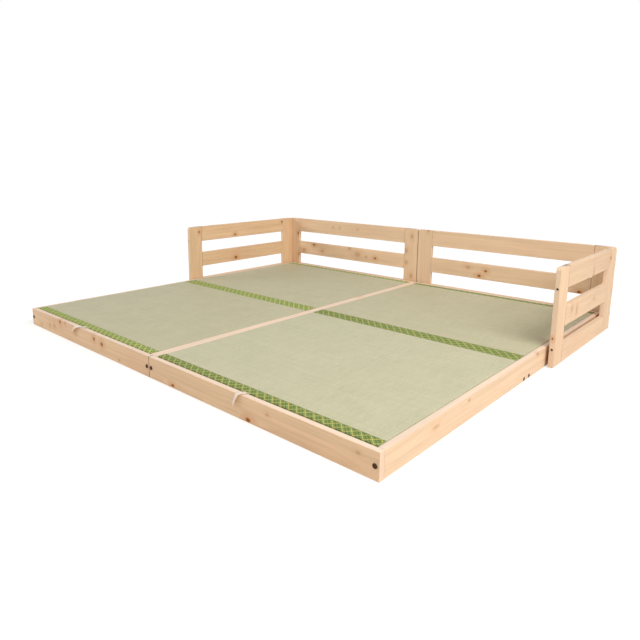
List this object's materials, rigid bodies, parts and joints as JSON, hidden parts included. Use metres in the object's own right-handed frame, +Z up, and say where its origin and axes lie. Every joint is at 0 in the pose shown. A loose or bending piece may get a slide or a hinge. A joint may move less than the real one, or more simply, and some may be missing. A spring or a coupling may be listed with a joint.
{
  "type": "linked pair of slatted low beds with rush boards and head guards",
  "caption": "Low softwood bed frames linked side by side, slatted base under lift-out rush boards with lattice cloth borders, rail guards round the head half.",
  "frame": {"origin": "middle of the pair's footprint on the floor", "axes": "+X across the pair from the left bed to the right bed, +Y from the foot to the head, +Z up"},
  "size_m": [2.0644, 1.8464, 0.39],
  "materials": {
    "frame_pine": "planed knotty pine, clear matt oil",
    "guard_pine": "planed knotty pine, clear matt oil",
    "base_pine": "planed, untreated",
    "mat_core": "raw fibre board",
    "woven_rush": "woven rush, matt with a soft sheen",
    "border_cloth": "woven cotton with a small diamond lattice",
    "webbing": "plain cotton webbing",
    "bronze_steel": "dark bronze, satin"
  },
  "bodies": {
    "frame": {"left_front_board": "frame_pine", "left_rear_board": "frame_pine", "left_outer_side_board": "frame_pine", "left_inner_side_board": "frame_pine", "left_cross_board": "base_pine", "left_slat_panel": "base_pine", "left_front_outer_bolt": "bronze_steel", "left_front_inner_bolt": "bronze_steel", "left_rear_outer_bolt": "bronze_steel", "left_rear_inner_bolt": "bronze_steel", "right_front_board": "frame_pine", "right_rear_board": "frame_pine", "right_outer_side_board": "frame_pine", "right_inner_side_board": "frame_pine", "right_cross_board": "base_pine", "right_slat_panel": "base_pine", "right_front_outer_bolt": "bronze_steel", "right_front_inner_bolt": "bronze_steel", "right_rear_outer_bolt": "bronze_steel", "right_rear_inner_bolt": "bronze_steel", "left_guard_front_post": "guard_pine", "left_guard_rear_post": "guard_pine", "left_guard_bottom_rail": "guard_pine", "left_guard_middle_rail": "guard_pine", "left_guard_top_rail": "guard_pine", "right_guard_front_post": "guard_pine", "right_guard_rear_post": "guard_pine", "right_guard_bottom_rail": "guard_pine", "right_guard_middle_rail": "guard_pine", "right_guard_top_rail": "guard_pine", "rear_left_guard_outer_post": "guard_pine", "rear_left_guard_inner_post": "guard_pine", "rear_left_guard_bottom_rail": "guard_pine", "rear_left_guard_middle_rail": "guard_pine", "rear_left_guard_top_rail": "guard_pine", "rear_right_guard_inner_post": "guard_pine", "rear_right_guard_outer_post": "guard_pine", "rear_right_guard_bottom_rail": "guard_pine", "rear_right_guard_middle_rail": "guard_pine", "rear_right_guard_top_rail": "guard_pine", "front_link_bolt": "bronze_steel", "rear_link_bolt": "bronze_steel"},
    "left_front_mat": {"left_front_mat_core": "mat_core", "left_front_mat_cover": "woven_rush", "left_front_mat_front_border": "border_cloth", "left_front_mat_rear_border": "border_cloth", "left_pull_tape": "webbing"},
    "left_rear_mat": {"left_rear_mat_core": "mat_core", "left_rear_mat_cover": "woven_rush", "left_rear_mat_front_border": "border_cloth", "left_rear_mat_rear_border": "border_cloth"},
    "right_front_mat": {"right_front_mat_core": "mat_core", "right_front_mat_cover": "woven_rush", "right_front_mat_front_border": "border_cloth", "right_front_mat_rear_border": "border_cloth", "right_pull_tape": "webbing"},
    "right_rear_mat": {"right_rear_mat_core": "mat_core", "right_rear_mat_cover": "woven_rush", "right_rear_mat_front_border": "border_cloth", "right_rear_mat_rear_border": "border_cloth"}
  },
  "joints": [
    {"name": "left_front_mat_lift", "type": "hinge", "parent": "frame", "child": "left_front_mat", "pos_m": [-0.5002, -0.00927, 0.081], "axis": [-1, 0, 0], "range_deg": [0, 80]},
    {"name": "left_rear_mat_lift_out", "type": "slide", "parent": "frame", "child": "left_rear_mat", "axis": [0, 0, 1], "range_m": [0, 0.4]},
    {"name": "right_front_mat_lift", "type": "hinge", "parent": "frame", "child": "right_front_mat", "pos_m": [0.5002, -0.00927, 0.081], "axis": [-1, 0, 0], "range_deg": [0, 80]},
    {"name": "right_rear_mat_lift_out", "type": "slide", "parent": "frame", "child": "right_rear_mat", "axis": [0, 0, 1], "range_m": [0, 0.4]}
  ]
}
